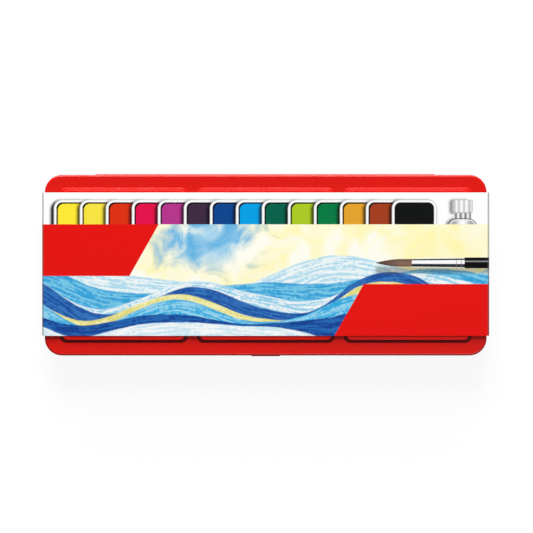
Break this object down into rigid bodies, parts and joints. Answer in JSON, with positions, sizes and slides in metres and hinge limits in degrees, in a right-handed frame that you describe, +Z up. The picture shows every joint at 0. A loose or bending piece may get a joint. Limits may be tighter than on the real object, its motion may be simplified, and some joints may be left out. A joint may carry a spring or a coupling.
{
  "type": "gouache paint set box",
  "caption": "Flat hinged tin for gouache: raised-panel palette lid, pans and cakes in a formed tray, a screw-cap tube, a round brush and a printed card wrap.",
  "frame": {"origin": "middle of the footprint, on the surface the tin stands on", "axes": "+X to the right along the tin's length, +Y to the hinge at the back, +Z up out of the lid"},
  "size_m": [0.2778, 0.1138, 0.0227],
  "materials": {
    "tin_lacquer": "gloss red lacquer, white enamel inside the lid",
    "hinge_steel": "bright drawn wire",
    "tray_plastic": "formed sheet, satin gloss",
    "pan_plastic": "moulded, satin",
    "tube_metal": "thin folded sheet, white lacquer",
    "white_gouache": "wet paste",
    "cap_plastic": "moulded",
    "liner_foam": "soft disc",
    "brush_hair": "soft brown hair",
    "ferrule_nickel": "plated, polished",
    "handle_lacquer": "black gloss lacquer",
    "printed_board": "white board, glossy colour print",
    "gouache_01": "dry matt paint cake",
    "gouache_02": "dry matt paint cake",
    "gouache_03": "dry matt paint cake",
    "gouache_04": "dry matt paint cake",
    "gouache_05": "dry matt paint cake",
    "gouache_06": "dry matt paint cake",
    "gouache_07": "dry matt paint cake",
    "gouache_08": "dry matt paint cake",
    "gouache_09": "dry matt paint cake",
    "gouache_10": "dry matt paint cake",
    "gouache_11": "dry matt paint cake",
    "gouache_12": "dry matt paint cake",
    "gouache_13": "dry matt paint cake",
    "gouache_14": "dry matt paint cake"
  },
  "bodies": {
    "base": {"base_shell": "tin_lacquer", "hinge_wire": "hinge_steel", "insert_tray": "tray_plastic", "tube_body": "tube_metal", "tube_paint": "white_gouache", "brush_handle": "handle_lacquer", "brush_ferrule": "ferrule_nickel", "brush_hair": "brush_hair", "pan_01": "pan_plastic", "pan_02": "pan_plastic", "pan_03": "pan_plastic", "pan_04": "pan_plastic", "pan_05": "pan_plastic", "pan_06": "pan_plastic", "pan_07": "pan_plastic", "pan_08": "pan_plastic", "pan_09": "pan_plastic", "pan_10": "pan_plastic", "pan_11": "pan_plastic", "pan_12": "pan_plastic", "pan_13": "pan_plastic", "pan_14": "pan_plastic", "paint_01": "gouache_01", "paint_02": "gouache_02", "paint_03": "gouache_03", "paint_04": "gouache_04", "paint_05": "gouache_05", "paint_06": "gouache_06", "paint_07": "gouache_07", "paint_08": "gouache_08", "paint_09": "gouache_09", "paint_10": "gouache_10", "paint_11": "gouache_11", "paint_12": "gouache_12", "paint_13": "gouache_13", "paint_14": "gouache_14"},
    "lid": {"lid_shell": "tin_lacquer"},
    "sleeve": {"sleeve_card": "printed_board"},
    "cap_liner": {"tube_cap_liner": "liner_foam"},
    "cap": {"tube_cap": "cap_plastic"}
  },
  "joints": [
    {"name": "lid_hinge", "type": "hinge", "parent": "base", "child": "lid", "pos_m": [0, 0.05568, 0.0128], "axis": [-1, 0, 0], "range_deg": [0, 130]},
    {"name": "sleeve_slide", "type": "slide", "parent": "lid", "child": "sleeve", "axis": [0, -1, 0], "range_m": [0, 0.105]},
    {"name": "cap_rise", "type": "slide", "parent": "base", "child": "cap_liner", "axis": [0, 1, 0], "range_m": [0, 0.0045]},
    {"name": "cap_turn", "type": "hinge", "parent": "cap_liner", "child": "cap", "pos_m": [0.1069, 0.038, 0.01005], "axis": [0, 1, 0], "range_deg": [0, 1080]}
  ],
  "couplings": [
    {"joint": "cap_turn", "follows": "cap_rise", "rad_per_m": 4188.7}
  ]
}
